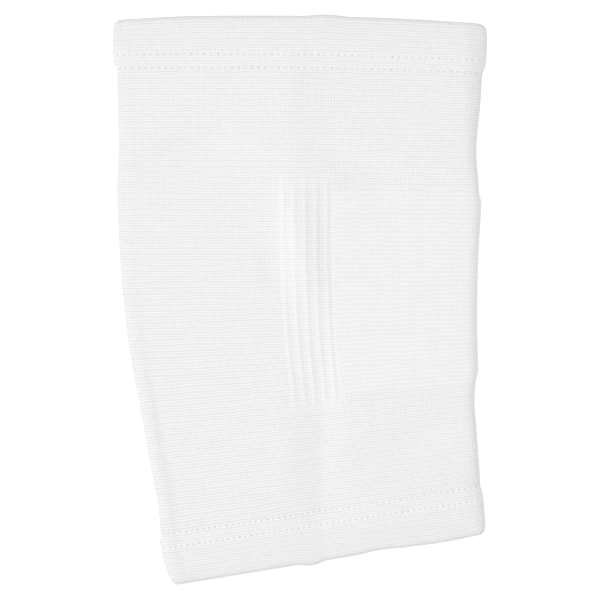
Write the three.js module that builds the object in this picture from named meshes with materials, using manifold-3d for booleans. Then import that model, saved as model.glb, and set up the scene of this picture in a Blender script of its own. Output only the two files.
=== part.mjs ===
// Knitted knee support lying flat: an elastic tube in several knit zones, hemmed at the thigh and the calf.
// Millimetres, +Z up. The thigh end points along +Y, the straight side with the panel along +X, and the
// floor is Z = 0.

import * as THREE from "three";
import { LoftGeometry } from "three/addons/geometries/LoftGeometry.js";
import { mergeVertices } from "three/addons/utils/BufferGeometryUtils.js";
import Module from "manifold-3d";

// Cloth and hems
const CLOTH = 1.2; // thickness of the elastic knit
const GAP = 0.3; // clearance between neighbouring pieces
const HEM_DEPTH = 24; // from a rim to the seam where its hem meets the sleeve
const HEM_TURN_IN = 27.5; // from a rim to the inner edge of the turned-in layer
const HEM_PROUD = 0.7; // how far the doubled hem stands out of the sleeve
const HEM_SETTLE = 19.8; // distance from the rim where the hem starts to sink to the seam
const RIM_HALF = 1.3; // half of the thickness at the rim, both layers pressed together
const RIM_ROUND = 2.2; // length of the round turn at the rim
const RIM_EASE = 6; // length over which a hem thins towards its rim
const CORNER_DIP = 0.8; // how far a rim draws back at the side folds

// Knit zones, as shares of the flat width from the front fold and distances beyond the panel's ends
const BAND_START = 0.449;
const BAND_END = 0.6;
const BAND_OVERRUN = 7.5; // how far the rib bands run past the panel at each end
const RIB_COUNT = 5;
const RIB_CREST = 0.34; // place of a rib in its share of the band
const RIB_HALF = 0.3; // half of a rib's width, as a share of its part of the band
const RIB_RISE = { calf: 0.31, thigh: 0.26 }; // height of the ribs at the band's ends
const RIB_FADE = 8; // length over which the ribs run out at their ends
const PANEL_PROUD = 0.25; // how far the looser panel knit swells out of the sleeve
const PANEL_BULGE = { ends: 1.3, middle: 0.5 }; // how far it swells at the back fold
const PANEL_RAMP = 6; // length over which it swells from its ends

// Side folds: how squarely the tube turns there, and the place and reach of the bead along the front one
const FOLD_SHARPNESS = 50;
const BEAD_AT = 3;
const BEAD_REACH = 6;

// Fineness of the facets
const FOLD_ANGLES = [0, 20, 40, 58, 72]; // degrees round half of a side fold
const FLAT_ANGLE = 81; // where a fold has run out into the flat layers
const UPPER_STEPS = 24;
const LOWER_STEPS = 6;
const SLEEVE_STEPS = 18;
const PATCH_STEPS = 9;

// The lying tube from calf to thigh: x and y of each course at the front fold and at the back fold, how far
// it bows thighward in the middle, the height of the tube, the height of its underside over the floor and
// the rise of the bead along the front fold
const STATIONS = [
  { name: "calfRim", front: [-60, -133.7], back: [87, -109.6], bow: 0, loft: 10.8, base: 0.66, bead: 0.7 },
  { name: "calfMid", front: [-64.6, -116.6], back: [85.4, -93.6], bow: -0.3, loft: 12.4, base: 0.76, bead: 0.8 },
  { name: "calfFar", front: [-65.4, -110], back: [84.7, -87.2], bow: -0.4, loft: 12.4, base: 0.76, bead: 0.8 },
  { name: "lowerCalf", front: [-66.7, -97], back: [84.1, -77], bow: 0, loft: 12.1, base: 0.2, bead: 1.15 },
  { name: "calf", front: [-70.3, -77.6], back: [83, -61.1], bow: 0, loft: 12, base: 0, bead: 1.25 },
  { name: "waist", front: [-73.4, -60.8], back: [82, -46.1], bow: 0, loft: 12, base: 0, bead: 1.3 },
  { name: "panelFoot", front: [-75, -51.7], back: [82.6, -38.1], bow: 0, loft: 12, base: 0, bead: 1.3 },
  { name: "underKnee", front: [-80.2, -23.5], back: [82.7, -16.9], bow: 0, loft: 12, base: 0, bead: 0.95 },
  { name: "knee", front: [-84.2, 14.1], back: [83.1, 15], bow: 0, loft: 12, base: 0, bead: 0.6 },
  { name: "panelHead", front: [-86, 52.6], back: [84.1, 51.2], bow: 0, loft: 12, base: 0, bead: 0.45 },
  { name: "thigh", front: [-85.4, 70.5], back: [82.9, 69.6], bow: 0.4, loft: 12, base: 0, bead: 0.45 },
  { name: "upperThigh", front: [-85.8, 94], back: [84.7, 92.1], bow: 0.9, loft: 12.1, base: 0.2, bead: 0.45 },
  { name: "thighFar", front: [-86.1, 109], back: [85.7, 106.7], bow: 1.3, loft: 12.4, base: 0.76, bead: 0.35 },
  { name: "thighTop", front: [-87.1, 115.4], back: [86.7, 112.8], bow: 1.3, loft: 12.4, base: 0.76, bead: 0.3 },
  { name: "thighRim", front: [-87.2, 131.8], back: [87.2, 129.5], bow: 2.3, loft: 10.8, base: 0.66, bead: 0 },
];

// Soft swells and dents of the upper layer: centre, reach to the left, to the right and along, turn of the
// long side, shape of the crest (2 round, 1 a sharp fold) and rise
const SWELLS = [
  { name: "ribRidge", x: 0, y: 27, left: 12.5, right: 20, along: 40, lean: 10.5, crest: 1.7, rise: 2 },
  { name: "ridgeFoot", x: -4, y: 42, left: 27, right: 60, along: 46, lean: 8, crest: 1.3, rise: 1.3 },
  { name: "ridgeFlank", x: -14, y: 13, left: 8, right: 9, along: 15, lean: 10, crest: 2, rise: -0.8 },
  { name: "panelEdge", x: 13, y: 20, left: 12, right: 10, along: 34, lean: 8, crest: 1.6, rise: -0.6 },
  { name: "thighStep", x: -5.2, y: 92, left: 28, right: 22, along: 40, lean: 0, crest: 1.3, rise: 1.1 },
  { name: "calfCrease", x: 10, y: -56, left: 20, right: 14, along: 54, lean: -1.5, crest: 1.3, rise: -1.2 },
  { name: "calfFold", x: 10.5, y: -92, left: 22, right: 26, along: 52, lean: -1.5, crest: 1.2, rise: -1.3 },
  { name: "backRoll", x: 90, y: 98, left: 13, right: 13, along: 46, lean: 0, crest: 2, rise: -3.4 },
  { name: "calfBackRoll", x: 91, y: -87, left: 15, right: 15, along: 13, lean: 0, crest: 2, rise: -2.4 },
  { name: "kneeHollowFold", x: 25.3, y: 64.7, left: 15, right: 6.5, along: 30, lean: 70, crest: 1.7, rise: -1.1 },
  { name: "frontDent", x: -51, y: 71, left: 12, right: 28, along: 32, lean: -70, crest: 2, rise: -1.4 },
  { name: "calfFoldBack", x: 48.5, y: -67, left: 11, right: 14, along: 42, lean: -73.6, crest: 1.8, rise: -1.6 },
  { name: "calfFoldFront", x: -26, y: -67, left: 8, right: 8, along: 36, lean: 78, crest: 1.6, rise: -0.6 },
];

// Kinks of the rims: which end, place and reach across, pull thighward
const KINKS = [
  { name: "calfFold", end: "calf", x: 5.6, reach: 7.5, pull: -1.3 },
  { name: "calfRise", end: "calf", x: 37.6, reach: 13, pull: 0.7 },
  { name: "calfSag", end: "calf", x: 66, reach: 17, pull: -0.5 },
  { name: "thighFold", end: "thigh", x: 12.2, reach: 12, pull: 0.8 },
  { name: "thighFront", end: "thigh", x: -86, reach: 34, pull: -0.7 },
  { name: "thighBack", end: "thigh", x: 80, reach: 36, pull: -0.3 },
];

const { clamp, degToRad, lerp, smoothstep } = THREE.MathUtils;
const solids = await Module();
solids.setup();

// Distance of each station from the calf rim, measured along the middle of the flat tube
const stationAt = STATIONS.map(() => 0);
for (let i = 1; i < STATIONS.length; i++) {
  const [low, high] = [STATIONS[i - 1], STATIONS[i]];
  const dx = (high.front[0] + high.back[0] - low.front[0] - low.back[0]) / 2;
  const dy = (high.front[1] + high.back[1] - low.front[1] - low.back[1]) / 2;
  stationAt[i] = stationAt[i - 1] + Math.hypot(dx, dy);
}
const LENGTH = stationAt.at(-1);
const COLUMNS = ["frontX", "frontY", "backX", "backY", "bow", "loft", "base", "bead"];
const courses = new THREE.CubicInterpolant(
  stationAt,
  STATIONS.flatMap((row) => [...row.front, ...row.back, row.bow, row.loft, row.base, row.bead]),
  COLUMNS.length,
  new Float64Array(COLUMNS.length),
);

function courseAt(at) {
  const values = courses.evaluate(at);
  return Object.fromEntries(COLUMNS.map((column, i) => [column, values[i]]));
}

function distanceOf(name) {
  return stationAt[STATIONS.findIndex((row) => row.name === name)];
}

function bell(t) {
  return Math.max(0, 1 - t * t) ** 2;
}

function swellAt(x, y) {
  let rise = 0;
  for (const row of SWELLS) {
    const lean = degToRad(row.lean);
    const across = (x - row.x) * Math.cos(lean) + (y - row.y) * Math.sin(lean);
    const along = (y - row.y) * Math.cos(lean) - (x - row.x) * Math.sin(lean);
    const reach = across < 0 ? row.left : row.right;
    const slope = Math.max(0, 1 - (Math.abs(across) / reach) ** row.crest) ** 2;
    rise += row.rise * slope * bell(along / row.along);
  }
  return rise;
}

function kinkAt(at, x) {
  let pull = 0;
  for (const row of KINKS) {
    const fromRim = row.end === "calf" ? at : LENGTH - at;
    pull += row.pull * Math.max(0, 1 - fromRim / HEM_DEPTH) * bell((x - row.x) / row.reach);
  }
  return pull;
}

// A point of the lying tube: "at" mm from the calf rim, "turn" round it from the front fold over the upper
// layer to the back fold (0 to 1) and back under (1 to 2), "depth" mm into the cloth, "puff" mm swollen
// outwards on every side but the underside, which is pressed flat
function formPoint(at, turn, depth, puff = 0) {
  const { frontX, frontY, backX, backY, bow, loft, base, bead } = courseAt(at);
  const side = turn <= 1 ? 1 : -1;
  const share = turn <= 1 ? turn : 2 - turn;
  const across = new THREE.Vector2(backX - frontX, backY - frontY);
  const width = across.length();
  across.normalize();
  const along = new THREE.Vector2(-across.y, across.x);

  const edge = 1 - 2 * share;
  const flatness = Math.sqrt(Math.max(0, 1 - Math.abs(edge) ** FOLD_SHARPNESS));
  const steepness = 2 * FOLD_SHARPNESS * Math.abs(edge) ** (FOLD_SHARPNESS - 1);
  const sideways = (-Math.sign(edge) * steepness) / width;
  const outward = new THREE.Vector2(sideways, (side * 4 * flatness) / loft).normalize();
  const into = depth - puff * clamp(1 + outward.y, 0, 1);

  const rimShare = Math.max(0, 1 - (LENGTH - at) / HEM_DEPTH) - Math.max(0, 1 - at / HEM_DEPTH);
  const bowed = 4 * bow * share * (1 - share);
  const dip = CORNER_DIP * outward.x ** 2 * rimShare;
  const draw = bowed - dip + kinkAt(at, frontX + across.x * width * share);
  const plan = new THREE.Vector2(frontX, frontY)
    .addScaledVector(across, width * share - outward.x * into)
    .addScaledVector(along, draw);
  const relief = swellAt(plan.x, plan.y) + bead * bell((width * share - BEAD_AT) / BEAD_REACH);
  const swell = side > 0 ? relief * flatness ** 2 : 0;
  const z = Math.max(0, base) + (loft / 2) * (1 + side * flatness) + swell - outward.y * into;
  return new THREE.Vector3(plan.x, plan.y, z);
}

// Shares of the width where the facets of a layer meet: close together round the folds, even between them
function sharesAcross(steps) {
  const foldShare = (degrees) => (1 - Math.cos(degToRad(degrees)) ** (2 / FOLD_SHARPNESS)) / 2;
  const fold = FOLD_ANGLES.map(foldShare);
  const flat = foldShare(FLAT_ANGLE);
  return [...fold, ...evenly(flat, 1 - flat, steps), ...fold.map((share) => 1 - share).reverse()];
}

function evenly(from, to, steps) {
  return Array.from({ length: steps + 1 }, (_, i) => lerp(from, to, i / steps));
}

const upperTurns = sharesAcross(UPPER_STEPS).slice(0, -1);
const lowerTurns = sharesAcross(LOWER_STEPS).slice(0, -1).map((share) => 1 + share);
const turns = [...upperTurns, ...lowerTurns];

// A wall right round the tube from its closed profile of [at, depth] points
function ringWall(profile) {
  const sections = turns.map((turn) => profile.map(([at, depth]) => formPoint(at, turn, depth)));
  return weld(new LoftGeometry([...sections, sections[0]], { closed: true }));
}

// A piece of the wall over a row of turns and a row of distances, swollen by puff(turn, at)
function wallPatch(patchTurns, patchAts, outer, inner, puff) {
  const lastTurn = patchTurns.length - 1;
  const lastAt = patchAts.length - 1;
  const patch = new THREE.BoxGeometry(1, 1, 1, lastTurn, lastAt, 1);
  const corners = patch.attributes.position;
  for (let i = 0; i < corners.count; i++) {
    const turn = patchTurns[Math.round((corners.getX(i) + 0.5) * lastTurn)];
    const at = patchAts[Math.round((corners.getY(i) + 0.5) * lastAt)];
    const depth = corners.getZ(i) > 0 ? outer : inner;
    corners.setXYZ(i, ...formPoint(at, turn, depth, puff(turn, at)));
  }
  return weld(patch);
}

function weld(surface) {
  const geometry = new THREE.BufferGeometry().copy(surface);
  geometry.deleteAttribute("normal");
  geometry.deleteAttribute("uv");
  return mergeVertices(geometry, 1e-4);
}

function toSolid(geometry) {
  return new solids.Manifold(
    new solids.Mesh({
      numProp: 3,
      vertProperties: new Float32Array(geometry.attributes.position.array),
      triVerts: new Uint32Array(geometry.index.array),
    }),
  );
}

function toGeometry(solid) {
  const { vertProperties, triVerts } = solid.getMesh();
  const geometry = new THREE.BufferGeometry();
  geometry.setAttribute("position", new THREE.BufferAttribute(vertProperties, 3));
  geometry.setIndex(new THREE.BufferAttribute(triVerts, 1));
  return geometry;
}

function turnsBetween(from, to) {
  return [from, ...turns.filter((turn) => turn > from + 0.004 && turn < to - 0.004), to];
}

// A hem turned in over its rim: the outer layer ends at the seam, the inner one runs on behind the sleeve
function hemProfile(atRim, direction) {
  const seamInner = 2 * CLOTH + GAP;
  const rimMiddle = (seamInner - HEM_PROUD) / 2;
  const ease = (distance) => smoothstep(distance, 0, RIM_EASE);
  const bend = (distance) => Math.sqrt(1 - (1 - Math.min(1, distance / RIM_ROUND)) ** 2);
  const outer = (distance) =>
    rimMiddle +
    lerp(-RIM_HALF * bend(distance), -HEM_PROUD - rimMiddle, ease(distance)) +
    HEM_PROUD * smoothstep(distance, HEM_SETTLE, HEM_DEPTH);
  const inner = (distance) =>
    rimMiddle + lerp(RIM_HALF * bend(distance), seamInner - rimMiddle, ease(distance));
  const rimRows = [0.15 * RIM_ROUND, 0.5 * RIM_ROUND, RIM_ROUND, RIM_EASE / 2, RIM_EASE];
  const outerRows = [...rimRows, HEM_SETTLE, HEM_DEPTH];
  const slotRows = [RIM_ROUND, RIM_EASE, HEM_SETTLE, HEM_DEPTH];
  const innerRows = [...rimRows, HEM_DEPTH, HEM_TURN_IN];
  const profile = [
    [0, rimMiddle],
    ...outerRows.map((distance) => [distance, outer(distance)]),
    ...slotRows.toReversed().map((distance) => [distance, outer(distance) + CLOTH]),
    ...[...slotRows, HEM_TURN_IN].map((distance) => [distance, inner(distance) - CLOTH]),
    ...innerRows.toReversed().map((distance) => [distance, inner(distance)]),
  ];
  const placed = profile.map(([distance, depth]) => [atRim + direction * distance, depth]);
  return direction > 0 ? placed.reverse() : placed;
}

// Knit zones round the back fold, each parted from the next by the clearance
const panelFrom = distanceOf("panelFoot");
const panelTo = distanceOf("panelHead");
const bandFrom = panelFrom - BAND_OVERRUN;
const bandTo = panelTo + BAND_OVERRUN;
const shareGap = GAP / (courseAt(panelTo).backX - courseAt(panelTo).frontX);

function zone(patchTurns, from, to, ramp, puff) {
  const middleAts = evenly(from + ramp, to - ramp, PATCH_STEPS - 2);
  const piece = wallPatch(patchTurns, [from, ...middleAts, to], 0, CLOTH, puff);
  const cutterTurns = turnsBetween(patchTurns[0] - shareGap, patchTurns.at(-1) + shareGap);
  const cutter = wallPatch(cutterTurns, [from - GAP, ...middleAts, to + GAP], -2, CLOTH + 2, () => 0);
  return { piece, cutter };
}

function panelPuff(turn, at) {
  const foldness = Math.abs(1 - 2 * Math.min(turn, 2 - turn)) ** FOLD_SHARPNESS;
  const towardsEnd = ((2 * (at - panelFrom)) / (panelTo - panelFrom) - 1) ** 2;
  const bulge = lerp(PANEL_BULGE.middle, PANEL_BULGE.ends, towardsEnd);
  const fromEnd = Math.min(at - panelFrom, panelTo - at);
  return lerp(PANEL_PROUD, bulge, foldness) * smoothstep(fromEnd, 0, PANEL_RAMP);
}

// A band of ribs, counted from its front edge, with a flat strip of knit after each
function ribBand(front, back) {
  const ribShares = [-1, -0.5, 0, 0.5, 1].map((step) => RIB_CREST + step * RIB_HALF);
  const ribs = evenly(0, RIB_COUNT - 1, RIB_COUNT - 1);
  const places = ribs.flatMap((rib) => ribShares.map((share) => rib + share));
  const turnAt = (place) => lerp(front, back, place / RIB_COUNT);
  const bandTurns = [0, ...places, RIB_COUNT].map(turnAt).sort((a, b) => a - b);
  const puff = (turn, at) => {
    const place = ((turn - front) / (back - front)) * RIB_COUNT;
    const across = (place - Math.floor(place) - RIB_CREST) / RIB_HALF;
    const rise = lerp(RIB_RISE.calf, RIB_RISE.thigh, (at - bandFrom) / (bandTo - bandFrom));
    return rise * bell(across) * smoothstep(Math.min(at - bandFrom, bandTo - at), 0, RIB_FADE);
  };
  return zone(bandTurns, bandFrom, bandTo, RIB_FADE, puff);
}

const panelTurns = turnsBetween(BAND_END + shareGap / 2, 2 - BAND_END - shareGap / 2);
const zones = {
  knee_panel: zone(panelTurns, panelFrom, panelTo, PANEL_RAMP, panelPuff),
  near_rib_band: ribBand(BAND_START, BAND_END - shareGap / 2),
  far_rib_band: ribBand(2 - BAND_START, 2 - BAND_END + shareGap / 2),
};

const seam = HEM_DEPTH + GAP;
const sleeveAts = evenly(seam, LENGTH - seam, SLEEVE_STEPS);
const sleeveWall = ringWall([
  ...sleeveAts.map((at) => [at, CLOTH]),
  ...sleeveAts.toReversed().map((at) => [at, 0]),
]);
const sleeve = Object.values(zones).reduce(
  (solid, { cutter }) => solid.subtract(toSolid(cutter)),
  toSolid(sleeveWall),
);

const PIECES = [
  { name: "sleeve", geometry: toGeometry(sleeve), color: 0xe9e9e7 },
  { name: "knee_panel", geometry: zones.knee_panel.piece, color: 0xf2f2f0 },
  { name: "near_rib_band", geometry: zones.near_rib_band.piece, color: 0xe4e4e2 },
  { name: "far_rib_band", geometry: zones.far_rib_band.piece, color: 0xe4e4e2 },
  { name: "thigh_hem", geometry: ringWall(hemProfile(LENGTH, -1)), color: 0xededeb },
  { name: "calf_hem", geometry: ringWall(hemProfile(0, 1)), color: 0xededeb },
];

const group = new THREE.Group();
group.name = "knee_support";
for (const { name, geometry, color } of PIECES) {
  geometry.computeVertexNormals();
  const material = new THREE.MeshStandardMaterial({ color, roughness: 0.9 });
  const mesh = new THREE.Mesh(geometry, material);
  mesh.name = name;
  group.add(mesh);
}

export default group;
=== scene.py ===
# Knee support lying flat: knitted sleeve, turned-in hems with twin stitching, knee panel and rib bands
import math

import bmesh
import bpy
from mathutils import Matrix, Vector


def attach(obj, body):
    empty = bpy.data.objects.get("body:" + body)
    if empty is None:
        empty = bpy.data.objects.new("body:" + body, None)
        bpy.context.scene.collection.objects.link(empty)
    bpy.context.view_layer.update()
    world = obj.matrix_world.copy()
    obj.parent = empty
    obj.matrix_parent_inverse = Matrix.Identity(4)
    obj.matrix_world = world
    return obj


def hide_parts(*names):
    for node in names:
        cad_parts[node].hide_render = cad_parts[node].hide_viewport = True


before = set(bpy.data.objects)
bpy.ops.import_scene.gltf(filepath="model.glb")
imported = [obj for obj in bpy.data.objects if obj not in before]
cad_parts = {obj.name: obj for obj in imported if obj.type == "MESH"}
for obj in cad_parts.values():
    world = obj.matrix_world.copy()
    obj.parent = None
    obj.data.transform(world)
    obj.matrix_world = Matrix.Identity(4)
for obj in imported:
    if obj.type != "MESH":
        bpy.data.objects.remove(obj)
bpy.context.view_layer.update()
mm = 0.001
print("frame loaded:", ", ".join(sorted(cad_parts)))

# the tube as it lies, in mm, from the calf rim to the thigh rim: ends of a course at the front and
# the back fold, how far it bows thighward, height of the tube, height of its underside, rise of the
# bead along the front fold
tube = {
    "stations": [
        (-60, -133.7, 87, -109.6, 0, 10.8, 0.66, 0.7),
        (-64.6, -116.6, 85.4, -93.6, -0.3, 12.4, 0.76, 0.8),
        (-65.4, -110, 84.7, -87.2, -0.4, 12.4, 0.76, 0.8),
        (-66.7, -97, 84.1, -77, 0, 12.1, 0.2, 1.15),
        (-70.3, -77.6, 83, -61.1, 0, 12, 0, 1.25),
        (-73.4, -60.8, 82, -46.1, 0, 12, 0, 1.3),
        (-75, -51.7, 82.6, -38.1, 0, 12, 0, 1.3),
        (-80.2, -23.5, 82.7, -16.9, 0, 12, 0, 0.95),
        (-84.2, 14.1, 83.1, 15, 0, 12, 0, 0.6),
        (-86, 52.6, 84.1, 51.2, 0, 12, 0, 0.45),
        (-85.4, 70.5, 82.9, 69.6, 0.4, 12, 0, 0.45),
        (-85.8, 94, 84.7, 92.1, 0.9, 12.1, 0.2, 0.45),
        (-86.1, 109, 85.7, 106.7, 1.3, 12.4, 0.76, 0.35),
        (-87.1, 115.4, 86.7, 112.8, 1.3, 12.4, 0.76, 0.3),
        (-87.2, 131.8, 87.2, 129.5, 2.3, 10.8, 0.66, 0),
    ],
    "panelFoot": 6,  # station at the panel's lower edge
    "panelHead": 9,
    "foldSharpness": 50,
    "beadAt": 3,
    "beadReach": 6,
    "cornerDip": 0.8,
    "cloth": 1.2,
    "hemDepth": 24,
}

# swells and dents of the upper layer, in mm: x, y, reach to the left, to the right and along, lean in
# degrees, roundness of the crest (2 round, 1 a sharp fold), rise
swells = {
    "ribRidge": (0, 27, 12.5, 20, 40, 10.5, 1.7, 2.0),
    "ridgeFoot": (-4, 42, 27, 60, 46, 8, 1.3, 1.3),
    "ridgeFlank": (-14, 13, 8, 9, 15, 10, 2, -0.8),
    "panelEdge": (13, 20, 12, 10, 34, 8, 1.6, -0.6),
    "thighStep": (-5.2, 92, 28, 22, 40, 0, 1.3, 1.1),
    "calfCrease": (10, -56, 20, 14, 54, -1.5, 1.3, -1.2),
    "calfFold": (10.5, -92, 22, 26, 52, -1.5, 1.2, -1.3),
    "backRoll": (90, 98, 13, 13, 46, 0, 2, -3.4),
    "calfBackRoll": (91, -87, 15, 15, 13, 0, 2, -2.4),
    "kneeHollowFold": (25.3, 64.7, 15, 6.5, 30, 70, 1.7, -1.1),
    "frontDent": (-51, 71, 12, 28, 32, -70, 2, -1.4),
    "calfFoldBack": (48.5, -67, 11, 14, 42, -73.6, 1.8, -1.6),
    "calfFoldFront": (-26, -67, 8, 8, 36, 78, 1.6, -0.6),
}

# kinks of the rims, in mm: place along the tube (0 calf, 1 thigh), x, reach, pull thighward
kinks = {
    "calfFold": (0, 5.6, 7.5, -1.3),
    "calfRise": (0, 37.6, 13, 0.7),
    "calfSag": (0, 66, 17, -0.5),
    "thighFold": (1, 12.2, 12, 0.8),
    "thighFront": (1, -86, 34, -0.7),
    "thighBack": (1, 80, 36, -0.3),
}


def middleOf(row):
    return Vector(((row[0] + row[2]) / 2, (row[1] + row[3]) / 2))


stationAt = [0.0]
for low, high in zip(tube["stations"], tube["stations"][1:]):
    stationAt.append(stationAt[-1] + (middleOf(high) - middleOf(low)).length)
tubeLength = stationAt[-1]
panelFrom = stationAt[tube["panelFoot"]]
panelTo = stationAt[tube["panelHead"]]
knownCourses = {}


def courseAt(at):
    # smooth row of the station table at a distance from the calf rim
    key = round(at, 4)
    if key not in knownCourses:
        rows = tube["stations"]
        i = 1
        while i < len(rows) - 1 and stationAt[i] < at:
            i += 1
        t0, t1 = stationAt[i - 1], stationAt[i]
        before, tBefore = (rows[i - 2], stationAt[i - 2]) if i > 1 else (rows[i], t1)
        after, tAfter = (rows[i + 1], stationAt[i + 1]) if i + 1 < len(rows) else (rows[i - 1], t0)
        wBefore = (t1 - t0) / 2 / (t0 - tBefore)
        wAfter = (t1 - t0) / 2 / (tAfter - t1)
        p = (at - t0) / (t1 - t0)
        weights = (
            -wBefore * p**3 + 2 * wBefore * p**2 - wBefore * p,
            (1 + wBefore) * p**3 - (1.5 + 2 * wBefore) * p**2 + (wBefore - 0.5) * p + 1,
            -(1 + wAfter) * p**3 + (1.5 + wAfter) * p**2 + 0.5 * p,
            wAfter * p**3 - wAfter * p**2,
        )
        knownCourses[key] = [
            sum(w * v for w, v in zip(weights, values)) for values in zip(before, rows[i - 1], rows[i], after)
        ]
    return knownCourses[key]


def bell(t):
    return max(0.0, 1 - t * t) ** 2


def smoothStep(value, low, high):
    t = min(1.0, max(0.0, (value - low) / (high - low)))
    return t * t * (3 - 2 * t)


def swellAt(x, y):
    rise = 0.0
    for x0, y0, left, right, along, lean, roundness, height in swells.values():
        c, s = math.cos(math.radians(lean)), math.sin(math.radians(lean))
        off = (x - x0) * c + (y - y0) * s
        u = abs(off) / (left if off < 0 else right)
        v = ((y - y0) * c - (x - x0) * s) / along
        if u < 1 and abs(v) < 1:
            rise += height * (1 - u**roundness) ** 2 * bell(v)
    return rise


def kinkAt(at, x):
    pull = 0.0
    for end, x0, reach, height in kinks.values():
        fade = 1 - abs(at - end * tubeLength) / tube["hemDepth"]
        if fade > 0 and abs(x - x0) < reach:
            pull += height * fade * bell((x - x0) / reach)
    return pull


def formPoint(at, turn, depth=0.0, puff=0.0):
    # turn runs from the front fold over the upper layer to the back fold (0 to 1) and back under (1 to 2)
    frontX, frontY, backX, backY, bow, loft, base, bead = courseAt(at)
    side = 1 if turn <= 1 else -1
    share = turn if turn <= 1 else 2 - turn
    across = Vector((backX - frontX, backY - frontY))
    width = across.length
    across /= width
    along = Vector((-across.y, across.x))
    power = tube["foldSharpness"]
    edge = 1 - 2 * share
    flatness = math.sqrt(max(0.0, 1 - abs(edge) ** power))
    sideways = -math.copysign(2 * power * abs(edge) ** (power - 1) / width, edge)
    outward = Vector((sideways, side * 4 * flatness / loft)).normalized()
    into = depth - puff * min(1.0, max(0.0, 1 + outward.y))  # pressed flat where it rests
    rimShare = max(0.0, 1 - (tubeLength - at) / tube["hemDepth"]) - max(0.0, 1 - at / tube["hemDepth"])
    draw = 4 * bow * share * (1 - share) - tube["cornerDip"] * outward.x**2 * rimShare
    draw += kinkAt(at, frontX + across.x * width * share)
    plan = Vector((frontX, frontY)) + across * (width * share - outward.x * into) + along * draw
    swell = swellAt(plan.x, plan.y) + bead * bell((width * share - tube["beadAt"]) / tube["beadReach"])
    swell *= flatness**2 if side > 0 else 0.0
    z = max(0.0, base) + loft / 2 * (1 + side * flatness) + swell - outward.y * into
    return Vector((plan.x, plan.y, z)) * mm


# distance round the tube at the knee, for even spacing and for the knit's own coordinates
arcSteps = 4000
arcTable = [0.0]
lastPoint = formPoint(tubeLength / 2, 0)
for i in range(1, arcSteps + 1):
    point = formPoint(tubeLength / 2, 2 * i / arcSteps)
    arcTable.append(arcTable[-1] + (point - lastPoint).length)
    lastPoint = point
girth = arcTable[-1]


def arcOf(turn):
    place = turn / 2 * arcSteps
    i = min(arcSteps - 1, int(place))
    return arcTable[i] + (arcTable[i + 1] - arcTable[i]) * (place - i)


def turnOf(arc):
    low, high = 0, arcSteps
    while high - low > 1:
        middle = (low + high) // 2
        low, high = (middle, high) if arcTable[middle] <= arc else (low, middle)
    return 2 * (low + (arc - arcTable[low]) / (arcTable[high] - arcTable[low])) / arcSteps


def evenTurns(fromTurn, toTurn, count):
    start, end = arcOf(fromTurn), arcOf(toTurn)
    inner = [turnOf(start + (end - start) * i / count) for i in range(1, count)]
    return [fromTurn] + inner + [toTurn]


def evenly(low, high, count):
    return [low + (high - low) * i / count for i in range(count + 1)]


def clothGrid(name, turns, rows, place, keep=None):
    # a grid of knit: place(turn, row) gives the surface, and a row starts with its distance along the cloth
    bm = bmesh.new()
    knit = bm.loops.layers.uv.new("knit")
    columns, lines = len(turns) - 1, len(rows) - 1
    bmesh.ops.create_grid(bm, x_segments=columns, y_segments=lines, size=0.5)
    cell = {v: (round((v.co.x + 0.5) * columns), round((v.co.y + 0.5) * lines)) for v in bm.verts}
    for face in bm.faces:
        face.smooth = True
        for loop in face.loops:
            column, line = cell[loop.vert]
            loop[knit].uv = (arcOf(turns[column]), rows[line][0] * mm)
    if keep:
        gone = []
        for face in bm.faces:
            column = min(cell[v][0] for v in face.verts)
            line = min(cell[v][1] for v in face.verts)
            turn = (turns[column] + turns[column + 1]) / 2
            along = (rows[line][0] + rows[line + 1][0]) / 2
            if not keep(turn, along):
                gone.append(face)
        bmesh.ops.delete(bm, geom=gone, context="FACES")
    for v in bm.verts:
        column, line = cell[v]
        v.co = place(turns[column], rows[line])
    bmesh.ops.remove_doubles(bm, verts=bm.verts, dist=1e-6)
    for edge in bm.edges:
        edge.smooth = not edge.is_boundary  # a cut edge stays crisp once the cloth has its thickness
    return makePiece(name, bm)


def makePiece(name, bm):
    mesh = bpy.data.meshes.new(name)
    bm.to_mesh(mesh)
    bm.free()
    piece = bpy.data.objects.new(name, mesh)
    bpy.context.scene.collection.objects.link(piece)
    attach(piece, "root")
    return piece


def thicken(piece):
    wall = piece.modifiers.new("wall", "SOLIDIFY")
    wall.thickness = tube["cloth"] * mm
    wall.offset = -1
    return piece


class Wire:
    # a node's socket: sums and products of wires add Math nodes, node() adds any other
    def __init__(self, tree, socket=None):
        self.tree = tree
        self.socket = socket

    def node(self, kind, settings=None, links=None, out=0):
        made = self.tree.nodes.new("ShaderNode" + kind)
        for name, value in (settings or {}).items():
            setattr(made, name, value)
        for name, value in (links or {}).items():
            if isinstance(value, Wire):
                self.tree.links.new(value.socket, made.inputs[name])
            else:
                made.inputs[name].default_value = value
        return Wire(self.tree, made.outputs[out] if made.outputs else None)

    def maths(self, operation, *values):
        return self.node("Math", {"operation": operation}, dict(enumerate(values)))

    def __add__(self, other):
        return self.maths("ADD", self, other)

    def __radd__(self, other):
        return self.maths("ADD", other, self)

    def __sub__(self, other):
        return self.maths("SUBTRACT", self, other)

    def __rsub__(self, other):
        return self.maths("SUBTRACT", other, self)

    def __mul__(self, other):
        return self.maths("MULTIPLY", self, other)

    def __rmul__(self, other):
        return self.maths("MULTIPLY", other, self)

    def __truediv__(self, other):
        return self.maths("DIVIDE", self, other)

    def __pow__(self, other):
        return self.maths("POWER", self, other)

    def floor(self):
        return self.maths("FLOOR", self)

    def positive(self):
        return self.maths("MAXIMUM", self, 0.0)

    def wave(self):
        # 0 at each whole number, 1 half way between
        return self.maths("PINGPONG", self, 0.5) * 2

    def hump(self):
        # rounds a rising and falling ramp
        return 1 - (1 - self) ** 2


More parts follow.
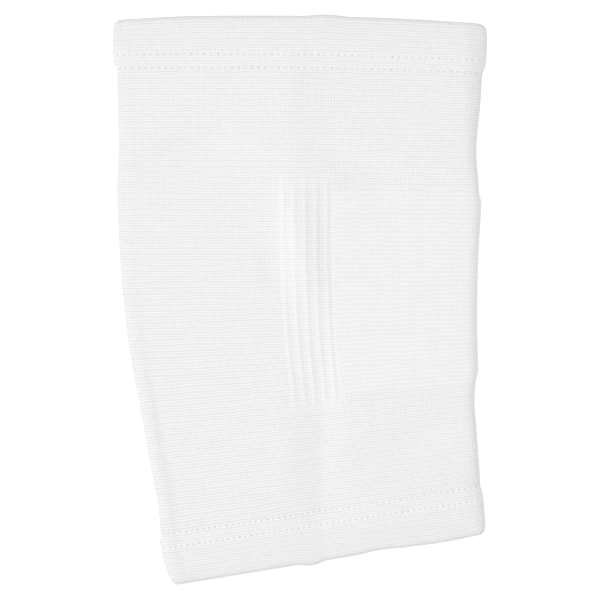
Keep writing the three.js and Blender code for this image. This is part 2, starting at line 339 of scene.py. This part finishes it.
def newMaterial(name):
    material = bpy.data.materials.new(name)
    material.use_nodes = True
    material.node_tree.nodes.clear()
    return material, Wire(material.node_tree)


def finishMaterial(wires, colour, roughness, height, bump, sheen):
    normal = wires.node("Bump", None, {
        "Strength": bump["strength"], "Distance": bump["depth"], "Height": height,
    })
    shader = wires.node("BsdfPrincipled", None, {
        "Base Color": colour, "Roughness": roughness, "Normal": normal,
        "Specular IOR Level": 0.2, "Sheen Weight": sheen, "Sheen Roughness": 0.45,
    })
    wires.node("OutputMaterial", None, {"Surface": shader})


def noiseAt(wires, place, scale, detail):
    return wires.node("TexNoise", {"noise_dimensions": "2D"}, {
        "Vector": place, "Scale": scale, "Detail": detail,
    }, "Fac")


def mixColours(wires, share, low, high):
    return wires.node("Mix", {"data_type": "RGBA"}, {0: share, 6: low, 7: high}, 2)


def knitMaterial(name, knit, sewn=None):
    material, wires = newMaterial(name)
    place = wires.node("UVMap", {"uv_map": "knit"})
    across = wires.node("SeparateXYZ", None, {"Vector": place}, "X")
    along = wires.node("SeparateXYZ", None, {"Vector": place}, "Y")
    yarn = (*knit["yarn"], 1.0)
    drift = noiseAt(wires, place, 90.0, 1.0) - 0.5
    cloud = noiseAt(wires, place, 240.0, 3.0) - 0.5
    fuzz = noiseAt(wires, place, 2600.0, 2.0) - 0.5

    wale = across / knit["wale"] + drift * knit["waleDrift"]
    leg = wale.wave()  # 0 between two wales, 1 on the middle of one
    course = along / knit["course"] + drift * knit["courseDrift"] + leg * knit["chevron"]
    strand = course.wave().hump()
    pair = (course / 2).wave()  # every other course is a little darker in colour
    # painted shade: the colour darkens towards the front fold, where the tube turns under
    fold = 1 - across.maths("PINGPONG", across, girth / 2) / knit["foldShadeReach"]
    paintedFoldShade = fold.positive().hump()
    # painted shade: the colour darkens towards both rims of the tube
    fromEnd = along.maths("PINGPONG", along, tubeLength / 2 * mm)
    paintedEndShade = (1 - fromEnd / knit["endShadeReach"]).positive() ** 3
    loop = wires.node("TexWhiteNoise", {"noise_dimensions": "2D"}, {
        "Vector": wires.node("CombineXYZ", None, {"X": wale.floor(), "Y": course.floor()}),
    }, "Value") - 0.5
    crown = leg.hump() * knit["waleShare"] + strand * (1 - knit["waleShare"])
    height = crown + fuzz * knit["fuzz"] + loop * knit["loopHeight"]

    shade = knit["tone"] + (crown - knit["midCrown"]) * knit["contrast"] + (pair - 0.5) * knit["pair"]
    shade = shade + loop * knit["loops"] + cloud * knit["cloud"]
    shade = shade - paintedFoldShade * knit["paintedFoldShade"] - paintedEndShade * knit["end"]
    if sewn:
        # a dark line at the rim: ticks of the knit between the wales, and painted shade on the rim's roll
        fromRim = (along - sewn["rim"]) / sewn["rimTickAndShadeReach"]
        rimTickAndShade = (1 - fromRim * fromRim).positive()
        shade = shade - rimTickAndShade * (1 - leg * 0.7) * sewn["rimTickAndShadeDepth"]
    # the loop pattern of the knit: crests take the yarn colour, and the grooves between loops the darker
    # groove colour, which is painted shade
    colour = mixColours(wires, shade, (*knit["groove"], 1.0), yarn)
    if sewn:
        # painted shade in the needle holes of the stitch rows, deeper at some stitches than at others
        reach = across.maths("PINGPONG", across, sewn["pitch"] / 2) / sewn["holeHalf"]
        stitch = (across / sewn["pitch"] + 0.5).floor()
        hole, paintedHoleShade, rowLightening = 0.0, 0.0, 0.0
        for count, row in enumerate(sewn["rows"]):
            off = (along - row) / sewn["holeHalf"]
            number = stitch + count * sewn["rowStart"]
            pull = wires.node("TexWhiteNoise", {"noise_dimensions": "1D"}, {"W": number}, "Value")
            pit = (1 - reach * reach - off * off).positive()
            hole = pit + hole
            paintedHoleShade = pit * (sewn["holeShade"] + pull**2 * sewn["pullShade"]) + paintedHoleShade
            rowLightening = (1 - off * off * sewn["rowLighteningShare"]).positive() + rowLightening
        height = height - hole * sewn["holeDepth"]
        # the colour is lighter along the stitch rows
        colour = mixColours(wires, rowLightening * sewn["rowLightening"], colour, yarn)
        colour = mixColours(wires, paintedHoleShade, colour, sewn["holeShadeColour"])
    roughness = 0.95 - crown * 0.1
    finishMaterial(wires, colour, roughness, height, knit["bump"], 0.12)
    return material


# elastic body knit: even courses with shallow wales
bodyKnit = {
    "wale": girth / 272, "course": 1.265 * mm, "chevron": 0.35, "waleDrift": 0.25, "courseDrift": 0.8,
    "waleShare": 0.36, "fuzz": 0.25, "loopHeight": 0.2,
    "tone": 0.558, "contrast": 0.59, "midCrown": 0.62, "pair": 0.09, "loops": 0.06, "cloud": 0.02,
    # painted shade at the front fold and towards both rims of the tube
    "paintedFoldShade": 0.33, "foldShadeReach": 9.5 * mm, "end": 0.11, "endShadeReach": 75 * mm,
    # groove colour: painted shade between the knit's loops
    "groove": (0.63, 0.63, 0.63), "yarn": (0.95, 0.95, 0.95), "bump": {"strength": 0.6, "depth": 0.25 * mm},
}
panelKnit = {
    **bodyKnit, "wale": girth / 262, "course": 2.15 * mm, "waleShare": 0.39, "tone": 0.543, "contrast": 0.29,
    "pair": 0.0, "loops": 0.07,
    "groove": (0.65, 0.65, 0.65), "bump": {"strength": 0.4, "depth": 0.18 * mm},
}
ribKnit = {
    **bodyKnit, "waleShare": 0.2, "tone": 0.582, "contrast": 0.42,
    "bump": {"strength": 0.5, "depth": 0.2 * mm},
}
hemKnit = {
    **bodyKnit, "waleShare": 0.33, "tone": 0.605, "contrast": 0.59, "loops": 0.08, "yarn": (0.93, 0.93, 0.93),
    "bump": {"strength": 0.55, "depth": 0.22 * mm},
}
bodyMaterial = knitMaterial("bodyKnit", bodyKnit)
panelMaterial = knitMaterial("panelKnit", panelKnit)
ribMaterial = knitMaterial("ribKnit", ribKnit)
print("materials made")

# ribs and panel, as shares of the flat width
bands = {
    "start": 0.449, "end": 0.6, "overrun": 7.5, "ribs": 5, "crest": 0.34, "halfWidth": 0.3,
    "calfRise": 0.31, "thighRise": 0.26, "fade": 8, "loopShare": 0.2, "columnsPerRib": 14, "rows": 252,
}
panel = {"proud": 0.25, "bulge": 1.3, "midBulge": 0.5, "ramp": 6.0, "columns": 96, "rows": 64}
bandFrom = panelFrom - bands["overrun"]
bandTo = panelTo + bands["overrun"]

# hems, in mm from the rim: the cloth is sunk a little along the two stitch rows
hem = {
    "proud": 0.7, "turnIn": 27.5, "rimHalf": 1.3, "rimRound": 2.2, "rimEase": 6,
    "settle": 19.8, "rows": (17.5, 23.7), "groove": 0.15, "grooveReach": 1.3, "pucker": 0.07,
    "stitches": 116, "columnsPerStitch": 4,
}


def stitchDip(distance, stitchPlace):
    dip = sum(bell((distance - row) / hem["grooveReach"]) for row in hem["rows"])
    return dip * (hem["groove"] + hem["pucker"] * math.cos(2 * math.pi * stitchPlace))


# sleeve: the whole tube between the hems, with a window where the finer knit zones sit
sleeve = {"columns": 190, "rows": 112}


def snapped(values, marks):
    # moves the nearest of the inner values onto each mark
    values = list(values)
    for mark in marks:
        nearest = min(range(1, len(values) - 1), key=lambda i: abs(values[i] - mark))
        values[nearest] = mark
    return sorted(values)


def inWindow(turn, at):
    if bands["end"] < turn < 2 - bands["end"]:
        return panelFrom < at < panelTo
    return bands["start"] < turn < 2 - bands["start"] and bandFrom < at < bandTo


sleeveTurns = snapped(
    evenTurns(0, 2, sleeve["columns"]),
    [bands["start"], bands["end"], 2 - bands["end"], 2 - bands["start"]],
)
seamRows = [tube["hemDepth"] + step for step in (0, 0.3, 0.6, 0.9, 1.3, 2)]
sleeveRows = seamRows[:-1] + snapped(
    evenly(seamRows[-1], tubeLength - seamRows[-1], sleeve["rows"]),
    [bandFrom, panelFrom, panelTo, bandTo],
) + [tubeLength - row for row in reversed(seamRows[:-1])]
sleevePiece = thicken(clothGrid(
    "sleeveKnit", sleeveTurns, [(at,) for at in sleeveRows],
    lambda turn, row: formPoint(row[0], turn, stitchDip(min(row[0], tubeLength - row[0]), 0.25)),
    keep=lambda turn, at: not inWindow(turn, at),
))
sleevePiece.data.materials.append(bodyMaterial)
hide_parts("sleeve")
print("sleeve made")


# knee panel: swells out of the sleeve from a soft edge
def panelPuff(turn, at):
    inside = min(at - panelFrom, panelTo - at)
    foldness = abs(1 - 2 * min(turn, 2 - turn)) ** tube["foldSharpness"]
    towardsEnd = abs(2 * (at - panelFrom) / (panelTo - panelFrom) - 1) ** 2
    bulge = panel["midBulge"] + (panel["bulge"] - panel["midBulge"]) * towardsEnd
    return (panel["proud"] + (bulge - panel["proud"]) * foldness) * smoothStep(inside, -0.2, panel["ramp"])


panelPiece = thicken(clothGrid(
    "kneePanelKnit", evenTurns(bands["end"], 2 - bands["end"], panel["columns"]),
    [(at,) for at in evenly(panelFrom, panelTo, panel["rows"])],
    lambda turn, row: formPoint(row[0], turn, 0, panelPuff(turn, row[0])),
))
panelPiece.data.materials.append(panelMaterial)
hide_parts("knee_panel")


# rib bands: half-round cords of knit with narrow grooves between them
def ribPuff(turn, at, fromTurn, toTurn):
    place = (turn - fromTurn) / (toTurn - fromTurn) * bands["ribs"]
    if fromTurn > 1:
        place = bands["ribs"] - place  # counted from the front on the far side too
    across = (place - math.floor(place) - bands["crest"]) / bands["halfWidth"]
    cord = bell(across * 0.9) if abs(across) < 1.1 else 0.0
    loops = 0.5 + 0.5 * math.cos(2 * math.pi * (at * mm / ribKnit["course"] + 0.35 * abs(across)))
    ends = smoothStep(min(at - bandFrom, bandTo - at), 0, bands["fade"])
    step = panel["proud"] * smoothStep(place, bands["ribs"] - 0.35, bands["ribs"])
    inside = smoothStep(min(at - panelFrom, panelTo - at), -0.2, panel["ramp"])
    thighward = (at - bandFrom) / (bandTo - bandFrom)
    rise = bands["calfRise"] + (bands["thighRise"] - bands["calfRise"]) * thighward
    return rise * ends * cord * (1 - bands["loopShare"] + bands["loopShare"] * loops) + step * inside


def ribBand(name, fromTurn, toTurn, node):
    piece = thicken(clothGrid(
        name, evenly(fromTurn, toTurn, bands["ribs"] * bands["columnsPerRib"]),
        [(at,) for at in evenly(bandFrom, bandTo, bands["rows"])],
        lambda turn, row: formPoint(row[0], turn, 0, ribPuff(turn, row[0], fromTurn, toTurn)),
    ))
    piece.data.materials.append(ribMaterial)
    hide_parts(node)
    return piece


nearBand = ribBand("nearRibBandKnit", bands["start"], bands["end"], "near_rib_band")
farBand = ribBand("farRibBandKnit", 2 - bands["end"], 2 - bands["start"], "far_rib_band")
print("panel and ribs made")

# hems: the cloth turned in over the rim
hemInner = 2 * tube["cloth"] + 0.3
rimMiddle = (hemInner - hem["proud"]) / 2


def rimBend(distance):
    return math.sqrt(1 - (1 - min(1.0, distance / hem["rimRound"])) ** 2)


def hemOuterDepth(distance, stitchPlace=0.0):
    ease = smoothStep(distance, 0, hem["rimEase"])
    bend = rimBend(distance)
    settle = hem["proud"] * smoothStep(distance, hem["settle"], tube["hemDepth"])
    depth = rimMiddle - (1 - ease) * hem["rimHalf"] * bend - ease * (hem["proud"] + rimMiddle) + settle
    return depth + stitchDip(distance, stitchPlace)


def hemInnerDepth(distance):
    ease = smoothStep(distance, 0, hem["rimEase"])
    bend = rimBend(distance)
    return rimMiddle + (1 - ease) * hem["rimHalf"] * bend + ease * (hemInner - rimMiddle)


def hemRows():
    # length along the cloth from the seam, distance from the rim, layer: 1 outside, -1 turned in
    outside = evenly(tube["hemDepth"], 1.6, 44) + [1.0, 0.55, 0.22, 0.05]
    inside = [0.05, 0.22, 0.55, 1.0] + evenly(1.6, hem["turnIn"], 20)
    return [(d, 1) for d in outside] + [(0.0, 1)] + [(d, -1) for d in inside]


def makeHem(name, node, rim, direction):
    material = knitMaterial(name, hemKnit, {
        "rim": rim * mm, "rimTickAndShadeReach": 2 * mm, "rimTickAndShadeDepth": 0.5,
        "rows": [(rim + direction * row) * mm for row in hem["rows"]], "pitch": girth / hem["stitches"],
        "holeHalf": 0.55 * mm, "holeShadeColour": (0.3, 0.3, 0.3, 1.0), "holeDepth": 0.7,
        "holeShade": 0.24, "pullShade": 0.34, "rowStart": 500, "rowLightening": 0.21, "rowLighteningShare": 0.25,
    })
    turns = evenTurns(0, 2, hem["stitches"] * hem["columnsPerStitch"])
    rows = [(rim + direction * d * layer, d, layer) for d, layer in hemRows()]

    def place(turn, row):
        at = rim + direction * row[1]
        stitchPlace = arcOf(turn) / girth * hem["stitches"]
        depth = hemOuterDepth(row[1], stitchPlace) if row[2] > 0 else hemInnerDepth(row[1])
        return formPoint(at, turn, depth)

    if direction > 0:
        rows.reverse()
    piece = thicken(clothGrid(name, turns, rows, place))
    piece.data.materials.append(material)
    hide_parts(node)
    return piece


thighHem = makeHem("thighHemKnit", "thigh_hem", tubeLength, -1)
calfHem = makeHem("calfHemKnit", "calf_hem", 0, 1)
print("hems made")

# sewing thread: one rounded stitch after another along both rows of a hem
thread = {
    "length": 2.2, "width": 0.62, "height": 0.36, "sink": 0.08, "reach": 0.8,
    "colour": (0.88, 0.88, 0.88, 1.0), "twistColour": (0.8, 0.8, 0.8, 1.0),
}


def threadMaterial():
    material, wires = newMaterial("sewingThread")
    place = wires.node("TexCoord", None, None, "Object")
    twist = wires.node("TexWave", {"wave_type": "BANDS", "bands_direction": "DIAGONAL"}, {
        "Vector": place, "Scale": 900.0, "Distortion": 0.5,
    }, "Fac")
    colour = mixColours(wires, twist, thread["twistColour"], thread["colour"])
    finishMaterial(wires, colour, 0.75 - twist * 0.1, twist, {"strength": 0.4, "depth": 0.08 * mm}, 0.1)
    return material


def sewHem(name, rim, direction, material):
    bm = bmesh.new()
    for row in hem["rows"]:
        at = rim + direction * row
        for i in range(hem["stitches"]):
            arc = girth * (i + 0.5) / hem["stitches"]
            turn = turnOf(arc)
            ahead = turnOf(min(girth, arc + thread["reach"] * mm))
            behind = turnOf(max(0.0, arc - thread["reach"] * mm))
            depth = hemOuterDepth(row, 0.5) + thread["sink"]
            centre = formPoint(at, turn, depth)
            run = (formPoint(at, ahead, depth) - formPoint(at, behind, depth)).normalized()
            out = (formPoint(at, turn, depth - 0.5) - formPoint(at, turn, depth + 0.5)).normalized()
            side = out.cross(run).normalized()
            out = run.cross(side)
            stitchEnd = turnOf(min(girth, arc + girth / hem["stitches"] / 2))
            pitch = (formPoint(at, stitchEnd, depth) - centre).length * 2
            length = thread["length"] / 3 * pitch / 2
            turned = Matrix((run, side, out)).transposed().to_4x4()
            sized = Matrix.Diagonal((length, thread["width"] * mm / 2, thread["height"] * mm / 2, 1))
            bmesh.ops.create_uvsphere(
                bm, u_segments=8, v_segments=6, radius=1, matrix=Matrix.Translation(centre) @ turned @ sized
            )
    for face in bm.faces:
        face.smooth = True
    piece = makePiece(name, bm)
    piece.data.materials.append(material)
    return piece


stitchMaterial = threadMaterial()
thighSewing = sewHem("thighHemStitches", tubeLength, -1, stitchMaterial)
calfSewing = sewHem("calfHemStitches", 0, 1, stitchMaterial)
print("stitching made")

# floor, light and camera
stage = {"floor": 6.0, "drop": 0.0002, "pixel": 0.47, "lens": 120.0, "plane": 0.006}


def makeFloor():
    bm = bmesh.new()
    bmesh.ops.create_grid(bm, x_segments=1, y_segments=1, size=stage["floor"] / 2)
    bmesh.ops.translate(bm, verts=bm.verts, vec=(0, 0, -stage["drop"]))
    mesh = bpy.data.meshes.new("floor")
    bm.to_mesh(mesh)
    bm.free()
    floor = bpy.data.objects.new("floor", mesh)
    bpy.context.scene.collection.objects.link(floor)
    material, wires = newMaterial("paleFloor")
    shader = wires.node("BsdfPrincipled", None, {
        "Base Color": (0.5, 0.5, 0.5, 1.0), "Roughness": 0.9,
        "Emission Color": (1.0, 1.0, 1.0, 1.0), "Emission Strength": 0.62,
    })
    wires.node("OutputMaterial", None, {"Surface": shader})
    mesh.materials.append(material)
    return floor


def addArea(name, place, target, size, power):
    light = bpy.data.lights.new(name, "AREA")
    light.size = size
    light.energy = power
    lamp = bpy.data.objects.new(name, light)
    lamp.location = place
    lamp.rotation_euler = (Vector(target) - Vector(place)).to_track_quat("-Z", "Y").to_euler()
    bpy.context.scene.collection.objects.link(lamp)


floor = makeFloor()
panelWidth = arcOf(2 - bands["end"]) - arcOf(bands["end"])
bandWidth = arcOf(bands["end"]) - arcOf(bands["start"])
bandWidth * 1.25
hemLength = (tube["hemDepth"] + hem["turnIn"]) * mm

world = bpy.data.worlds.new("studio")
world.use_nodes = True
world.node_tree.nodes["Background"].inputs["Color"].default_value = (1.0, 1.0, 1.0, 1.0)
world.node_tree.nodes["Background"].inputs["Strength"].default_value = 0.8
bpy.context.scene.world = world
addArea("keyLight", (-2.45, -0.15, 3.2), (0, 0, 0), 2.0, 63.5)
bpy.context.scene.view_settings.view_transform = "Standard"

camera = bpy.data.objects.new("camera", bpy.data.cameras.new("camera"))
camera.data.lens = stage["lens"]
camera.data.sensor_width = 36.0
camera.location = (0, 0, stage["plane"] + 300 * stage["pixel"] * mm * stage["lens"] / 18.0)
bpy.context.scene.collection.objects.link(camera)
bpy.context.scene.camera = camera
print("stage set")
